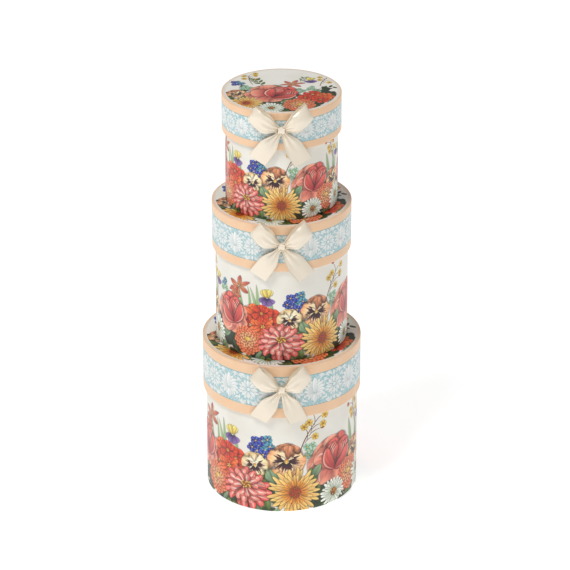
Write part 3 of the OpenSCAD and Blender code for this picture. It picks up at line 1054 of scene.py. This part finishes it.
def finishPaper(thing, box, material, body, stands):
    paint(thing, material)
    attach(thing, box["name"] + body)
    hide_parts(box["name"] + stands)


# cell is the height of a printed row of faces
wrapSizes = {
    "steps": 400, "cell": 1.5, "hiddenCell": 4.0, "edgeRound": 0.8, "mouthRound": 0.6, "turnUnder": 12,
    "turnIn": 14, "printPast": 6, "plainCell": 3.0,
}


def bodyLine(box):
    # the paper's section: from under the foot, up the wall, over the mouth and down inside, then back glued
    outer = box["bodyRadius"]
    low = box["bodyLow"]
    top = box["bodyTop"]
    foot = box["foot"]
    paper = box["paper"]
    inner = box["boreRadius"] - paper
    curve = wrapSizes["edgeRound"]
    inCurve = wrapSizes["mouthRound"]
    under = outer - wrapSizes["turnUnder"]
    plain = wrapSizes["plainCell"]
    line = [(under, low, low - foot - wrapSizes["turnUnder"])]
    line += [(r, low, low - foot - (outer - r)) for r in rollRows(under, outer - curve, plain)]
    line += roundCorner(outer - curve, low + curve, curve, -quarter, quarter, low - foot - curve)
    shown = box["lidLow"] + wrapSizes["printPast"]
    line += [(outer, z, z - foot) for z in rollRows(low + curve, shown, wrapSizes["cell"] * box["scale"])]
    line += [(outer, z, z - foot) for z in rollRows(shown, top - curve, wrapSizes["hiddenCell"])]
    line += roundCorner(outer - curve, top - curve, curve, 0, quarter, top - curve - foot)
    mark = line[-1][2]
    line.append((inner + inCurve, top, mark + outer - inner - curve - inCurve))
    line += roundCorner(inner + inCurve, top - inCurve, inCurve, quarter, quarter, line[-1][2])
    mark = line[-1][2]
    turnTop = top - inCurve
    turnEnd = top - wrapSizes["turnIn"]
    line += [(inner, z, mark + turnTop - z) for z in rollRows(turnTop, turnEnd, plain)]
    for r, z in ((inner + paper, turnEnd), (inner + paper, top - paper), (outer - paper, top - paper),
                 (outer - paper, low + paper), (under, low + paper), (under, low)):
        line.append((r, z, hiddenMark))
    return line


def makeBodyWrap(box):
    thing = spinLine(box["name"] + "_body_paper", bodyLine(box), wrapSizes["steps"])

    def place(turn, spots, marks):
        across = aroundWall(turn, artRadius, box["artTurn"], wallPeriod)
        return np.stack([across, marks / box["scale"]], axis=2)

    printOnto(thing, wallArt, place, unrolled)
    finishPaper(thing, box, wallPaper, "_box", "_body_wrap")


lidSizes = {
    "steps": 36 * damaskRepeats, "cell": 1.5, "edgeRound": 0.9, "mouthRound": 0.7, "turnOver": 15,
    "turnIn": 14, "inset": 0.3, "plainCell": 3.0, "overCell": 2.5,
}


def lidLine(box):
    outer = box["lidRadius"]
    low = box["lidLow"]
    top = box["rimTop"]
    paper = box["paper"]
    tall = top - low
    inner = box["ceilingRadius"] - paper + lidSizes["inset"]
    curve = lidSizes["edgeRound"]
    inCurve = lidSizes["mouthRound"]
    turnIn = lidSizes["turnIn"]

    def share(height):
        return (height - low) / tall

    line = [(inner, low + turnIn, -turnIn / tall)]
    downRows = rollRows(low + turnIn, low + inCurve, lidSizes["plainCell"])
    line += [(inner, z, -share(z)) for z in downRows]
    for r, z, _ in roundCorner(inner + inCurve, low + inCurve, inCurve, -2 * quarter, quarter, 0):
        line.append((r, z, -0.004))
    line.append((outer - inCurve, low, -0.002))
    for r, z, _ in roundCorner(outer - inCurve, low + inCurve, inCurve, -quarter, quarter, 0):
        line.append((r, z, share(z)))
    wallRows = rollRows(low + inCurve, top - curve, lidSizes["cell"] * box["scale"])
    line += [(outer, z, share(z)) for z in wallRows]
    for r, z, _ in roundCorner(outer - curve, top - curve, curve, 0, quarter, 0):
        line.append((r, z, 1 + (outer - r) / tall))
    over = outer - lidSizes["turnOver"]
    line += [(r, top, 1 + (outer - r) / tall) for r in rollRows(outer - curve, over, lidSizes["overCell"])]
    for r, z in ((over, top - paper), (outer - paper, top - paper), (outer - paper, low + paper),
                 (inner + paper, low + paper), (inner + paper, low + turnIn), (inner, low + turnIn)):
        line.append((r, z, hiddenMark))
    return line


holeSizes = {"across": 4.5, "pitch": 7.0, "depth": 12.0}


def cutHoles(thing, box):
    # two round holes under the knot, where the ribbon passes through the wall
    clearSelection()
    cutters = []
    for side in (-1, 1):
        bpy.ops.mesh.primitive_cylinder_add(
            vertices=32, radius=holeSizes["across"] / 2 * mm, depth=holeSizes["depth"] * mm,
            location=(side * holeSizes["pitch"] / 2 * mm, -box["lidRadius"] * mm, box["knotHeight"] * mm),
            rotation=(quarter, 0, 0),
        )
        cutters.append(bpy.context.object)
    for cutter in cutters:
        cutter.select_set(True)
    bpy.ops.object.join()
    cutter = bpy.context.object
    bpy.ops.object.transform_apply(location=True, rotation=True, scale=True)
    pick(thing)
    applyModifier(thing, "hole", "BOOLEAN", operation="DIFFERENCE", solver="MANIFOLD", object=cutter)
    bpy.data.objects.remove(cutter)


def makeLidWrap(box):
    thing = spinLine(box["name"] + "_lid_paper", lidLine(box), lidSizes["steps"])
    artHeight = boxes[0]["rimTop"] - boxes[0]["lidLow"]

    def place(turn, spots, marks):
        across = aroundWall(turn, boxes[0]["lidRadius"], 0.0, lidPeriod)
        return np.stack([across, marks * artHeight], axis=2)

    printOnto(thing, damaskArt, place, unrolled)
    cutHoles(thing, box)
    finishPaper(thing, box, bandPaper, "_lid", "_lid_wrap")


topSizes = {"steps": 320, "cell": 1.9, "turnOver": 15, "edgeStep": 0.15, "edgeDrop": 0.12}


def topLine(box):
    edge = box["printRadius"]
    over = box["lidRadius"] - topSizes["turnOver"]
    top = box["printTop"]
    rim = box["rimTop"]
    under = rim - box["paper"]
    line = [(0.0, top, 1.0)]
    flatRows = rollRows(0.0, edge - topSizes["edgeStep"], topSizes["cell"] * box["scale"])
    line += [(r, top, 1.0) for r in flatRows]
    line.append((edge, top - topSizes["edgeDrop"], 1.0))
    for r, z in ((edge, rim), (over, rim), (over, under), (over / 2, under), (0.0, under)):
        line.append((r, z, hiddenMark))
    return line


def makeTopPrint(box):
    thing = spinLine(box["name"] + "_top_paper", topLine(box), topSizes["steps"])

    def place(turn, spots, marks):
        return spots[:, :, :2] / box["scale"]

    def uvPlace(turn, spots, marks, lines):
        flat = spots[:, :, :2] / (box["printRadius"] * 2.02)
        hidden = (marks < 0).any(axis=1)  # the glued side lies small in a corner
        flat[hidden] *= 0.02
        flat[hidden] -= 0.48
        return flat + 0.5

    printOnto(thing, lidArt, place, uvPlace)
    finishPaper(thing, box, topPaper, "_lid", "_lid_top_print")


for box in boxes:
    makeBodyWrap(box)
    makeLidWrap(box)
    makeTopPrint(box)
    print(box["name"], "papers made")


def smooth(share):
    share = min(1.0, max(0.0, share))
    return share * share * (3 - 2 * share)


# hidden is the length of ribbon between two strips that lies out of sight in the knot. In the next two,
# knotHalf is the half width at which a strip leaves the knot, and knotOut how far out from the wall.
ribbonSizes = {
    "width": 22.0, "thick": 0.4, "across": 14, "knotWide": 8.4, "knotTall": 8.0, "knotOut": 4.7,
    "knotDeep": 3.9, "wallGap": 0.6, "hidden": 4.0,
}
ribbonSteps = [2 * k / ribbonSizes["across"] - 1 for k in range(ribbonSizes["across"] + 1)]
loopSizes = {
    "rows": 44, "knotHalf": 3.4, "knotOut": 4.6, "curl": 0.06, "lean": 0.4, "stand": 8.8, "bulge": 6.6,
    "drop": 0.4, "pleat": 1.4, "flutter": 0.9,
}
tailSizes = {
    "rows": 24, "knotHalf": 3.2, "knotOut": 4.2, "startX": 1.6, "startY": -3.4, "curl": -0.1, "pleat": 1.1,
    "wave": 0.9, "cup": 0.5,
}


def onWall(box, x, y, out):
    # a point across, up and away from the lid's round wall, measured from the knot's centre
    radius = box["lidRadius"]
    reach = sqrt(max(radius * radius - x * x, 1.0)) + out
    return (x * mm, -reach * mm, (y + box["knotHeight"]) * mm)


def loopRows(box, side, shape):
    # one loop: it leaves the knot in front, folds over at its far end and comes back behind
    rows = []
    wideHalf = ribbonSizes["width"] / 2 * cos(shape["lean"])
    startX = ribbonSizes["knotWide"] / 2 - 1.0
    for i in range(shape["rows"] + 1):
        turn = 2 * pi * i / shape["rows"]
        share = (1 - cos(turn)) / 2
        reach = shape["length"] * share
        opened = smooth(share / 0.52)
        front = sin(turn)
        half = shape["knotHalf"] + (wideHalf - shape["knotHalf"]) * opened
        rise = shape["rise"] + shape["curl"] * share
        wide = rise - shape["skew"] * opened
        middle = shape["knotOut"] + (shape["stand"] - shape["knotOut"]) * smooth(share / 0.4)
        depth = middle + shape["bulge"] * front * sin(turn / 2) ** 0.6 + cos(turn / 2)
        gather = (1 - smooth(share / 0.85)) * shape["pleat"]
        row = []
        for q in ribbonSteps:
            pleat = gather * cos(3 * pi * q + turn * 0.5 + shape["phase"])
            crown = shape["crown"] * (1 - q * q) * opened * (1 if front > 0 else -0.3)
            tilt = shape["lean"] * q * half * opened * shape["tip"]
            flutter = shape["flutter"] * sin(6 * share + 2.4 * q + shape["phase"]) * opened
            x = startX + reach * cos(rise) - sin(wide) * q * half
            y = shape["drop"] + reach * sin(rise) + cos(wide) * q * half
            out = max(depth + pleat + crown + tilt + flutter, ribbonSizes["wallGap"])
            row.append(onWall(box, side * x, y, out))
        rows.append(row)
    return rows


def tailRows(box, side, shape):
    rows = []
    for i in range(shape["rows"] + 1):
        share = i / shape["rows"]
        reach = shape["length"] * share
        opened = smooth(share / 0.55)
        half = shape["knotHalf"] + (ribbonSizes["width"] / 2 - shape["knotHalf"]) * opened
        angle = shape["spread"] + shape["curl"] * share * share
        lineAngle = shape["spread"] + shape["curl"] * share * 0.5
        middleX = shape["startX"] + reach * sin(lineAngle)
        middleY = shape["startY"] - reach * cos(lineAngle)
        roll = shape["roll"] * opened
        out = shape["knotOut"] + (shape["rest"] - shape["knotOut"]) * opened
        gather = (1 - smooth(share / 0.8)) * shape["pleat"]
        row = []
        for q in ribbonSteps:
            flat = q * half * cos(roll)
            cut = shape["cut"] * q * half * smooth((share - 0.55) / 0.45)
            x = middleX + cos(angle) * flat + sin(angle) * cut
            y = middleY + sin(angle) * flat - cos(angle) * cut
            pleat = gather * cos(2.5 * pi * q + shape["phase"])
            wave = shape["wave"] * sin(5.0 * share + 1.6 * q + shape["phase"]) * share
            curl = shape["cup"] * q * q * opened - q * half * sin(roll)
            row.append(onWall(box, side * x, y, max(out + pleat + wave + curl, ribbonSizes["wallGap"])))
        rows.append(row)
    return rows


def knotRows(box, slant, phase):
    # the band that is drawn over the middle, wider at its edges and creased along its length
    rows = []
    count = 28
    for i in range(count + 1):
        turn = 2 * pi * i / count
        cosine = cos(turn)
        sine = sin(turn)
        tall = ribbonSizes["knotTall"] / 2 * copysign(abs(sine) ** 0.8, sine)
        deep = ribbonSizes["knotDeep"] * copysign(abs(cosine) ** 0.8, cosine)
        row = []
        for q in ribbonSteps:
            waist = 1 - 0.1 * (1 - q * q) - 0.12 * q ** 4
            grow = waist * (1 + 0.05 * cos(3 * pi * q + 0.6 * sin(turn + phase)))
            x = ribbonSizes["knotWide"] / 2 * q * (0.9 + 0.1 * abs(sine)) + slant * tall * grow
            out = max(ribbonSizes["knotOut"] + deep * grow, ribbonSizes["wallGap"])
            row.append(onWall(box, x, tall * grow, out))
        rows.append(row)
    return rows


# where the strap's middle runs: across, out from the wall, and how far it is opened out
strapInside = -3.2
strapPath = [
    (-3.5, 1.4, 0), (-3.5, 0.0, 0), (-3.5, -1.6, 0), (-3.2, -2.7, 0.3), (-2.4, strapInside, 0.8),
    (-1.0, strapInside, 1), (1.0, strapInside, 1), (2.4, strapInside, 0.8), (3.2, -2.7, 0.3), (3.5, -1.6, 0),
    (3.5, 0.0, 0), (3.5, 1.4, 0),
]


def strapRows(box):
    # gathered through one hole, flat inside the lid, and out through the other
    rows = []
    for x, out, opened in strapPath:
        half = 1.5 + 3.5 * opened
        row = []
        for q in ribbonSteps:
            pleat = copysign(0.72, x) * (1 - opened) * cos(3.5 * pi * q)
            row.append(onWall(box, x + pleat, half * q, out))
        rows.append(row)
    return rows


def joinStrips(name, strips):
    vertices = []
    faces = []
    places = []
    run = 0.0
    for rows in strips:
        start = len(vertices)
        wide = len(rows[0])
        middle = wide // 2
        for i, row in enumerate(rows):
            if i:
                run += (Vector(row[middle]) - Vector(rows[i - 1][middle])).length
            for k, spot in enumerate(row):
                vertices.append(spot)
                places.append((run, ribbonSizes["width"] * mm * (k / (wide - 1) - 0.5)))
        for i in range(len(rows) - 1):
            for k in range(wide - 1):
                corner = start + i * wide + k
                faces.append((corner, corner + 1, corner + wide + 1, corner + wide))
        run += ribbonSizes["hidden"] * mm
    mesh = bpy.data.meshes.new(name)
    mesh.from_pydata(vertices, [], faces)
    layer = mesh.uv_layers.new(name="ribbonPlace")
    for loop in mesh.loops:
        layer.data[loop.index].uv = places[loop.vertex_index]
    thing = bpy.data.objects.new(name, mesh)
    bpy.context.scene.collection.objects.link(thing)
    return thing, run


# each box's bow was tied by hand, so no two are the same: (left, right) for every pair
bowShapes = {
    "large": {"loop": (36.0, 36.0), "rise": (0.6, 0.65), "tail": (47.0, 44.0), "spread": (0.64, 0.49),
              "cut": 0.3, "phase": 0.0},
    "medium": {"loop": (34.8, 36.2), "rise": (0.62, 0.61), "tail": (46.5, 46.5), "spread": (0.65, 0.68),
               "cut": 0.1, "phase": 1.3},
    "small": {"loop": (36.2, 36.0), "rise": (0.5, 0.6), "tail": (46.0, 45.0), "spread": (0.66, 0.6),
              "cut": 0.15, "phase": 2.2},
}


def makeBow(box):
    bow = bowShapes[box["name"]]
    strips = []
    for side, hand in ((-1, 0), (1, 1)):
        loop = dict(
            loopSizes, length=bow["loop"][hand], rise=bow["rise"][hand], skew=0.1 + 0.06 * side,
            tip=-0.5 - 0.15 * side, crown=3.0 + 0.5 * side, phase=bow["phase"] + side,
        )
        strips.append(loopRows(box, side, loop))
        tail = dict(
            tailSizes, length=bow["tail"][hand], spread=bow["spread"][hand], rest=(2.2, 5.0)[hand],
            roll=(-0.06, 0.36)[hand], cut=bow["cut"] * (0.5, 1.0)[hand], phase=bow["phase"] * side,
        )
        strips.append(tailRows(box, side, tail))
    strips.append(knotRows(box, 0.08, bow["phase"]))
    strips.append(strapRows(box))
    thing, length = joinStrips(box["name"] + "_ribbon", strips)
    pick(thing)
    applyModifier(thing, "finer", "SUBSURF", levels=1, render_levels=1)
    applyModifier(thing, "cloth", "SOLIDIFY", thickness=ribbonSizes["thick"] * mm, offset=0)
    bpy.ops.object.shade_smooth_by_angle(angle=radians(50))
    paint(thing, satin)
    prefix = box["name"] + "_"
    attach(thing, prefix + "lid")
    stands = [prefix + part for part in ("bow_loops", "bow_knot", "bow_tails", "ribbon_tie")]
    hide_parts(*stands)


for box in boxes:
    makeBow(box)
    print(box["name"], "ribbon tied")


viewSizes = {"side": 0.004, "distance": 3.237, "height": 1.82, "pitch": 25.74, "lens": 189.9}


def makeCamera():
    data = bpy.data.cameras.new("camera")
    data.lens = viewSizes["lens"]
    data.sensor_width = 36.0
    data.clip_end = 60.0
    camera = bpy.data.objects.new("camera", data)
    camera.location = (viewSizes["side"], -viewSizes["distance"], viewSizes["height"])
    camera.rotation_euler = (radians(90 - viewSizes["pitch"]), 0.0, 0.0)
    bpy.context.scene.collection.objects.link(camera)
    bpy.context.scene.camera = camera


studioLook = {"floorSize": 24.0, "floorTone": 0.9, "floorGlow": 0.62, "sky": 0.38, "aimHeight": 0.25}


def makeFloor():
    clearSelection()
    bpy.ops.mesh.primitive_plane_add(size=studioLook["floorSize"], location=(0, 0, -0.0002))
    floor = bpy.context.object
    floor.name = "floor"
    material, _, shader = startMaterial("paleFloor", 0.8, Emission_Strength=studioLook["floorGlow"])
    shader.inputs["Base Color"].default_value = (studioLook["floorTone"],) * 3 + (1,)
    shader.inputs["Emission Color"].default_value = (1, 1, 1, 1)
    paint(floor, material)


lampSizes = {
    "key": {"place": (-0.95, -1.1, 2.6), "size": 0.7, "power": 32.0},
    "fill": {"place": (1.9, -1.6, 1.2), "size": 2.0, "power": 2.0},
}


def makeLights():
    for name, lamp in lampSizes.items():
        data = bpy.data.lights.new(name, "AREA")
        data.size = lamp["size"]
        data.energy = lamp["power"]
        light = bpy.data.objects.new(name, data)
        light.location = lamp["place"]
        aim = Vector((0, 0, studioLook["aimHeight"])) - Vector(lamp["place"])
        light.rotation_euler = aim.to_track_quat("-Z", "Y").to_euler()
        bpy.context.scene.collection.objects.link(light)
    world = bpy.data.worlds.new("studio")
    world.use_nodes = True
    sky = world.node_tree.nodes["Background"]
    sky.inputs["Color"].default_value = (1, 1, 1, 1)
    sky.inputs["Strength"].default_value = studioLook["sky"]
    bpy.context.scene.world = world
    bpy.context.scene.view_settings.view_transform = "Standard"


makeCamera()
makeFloor()
makeLights()
print("camera, floor and lights set")
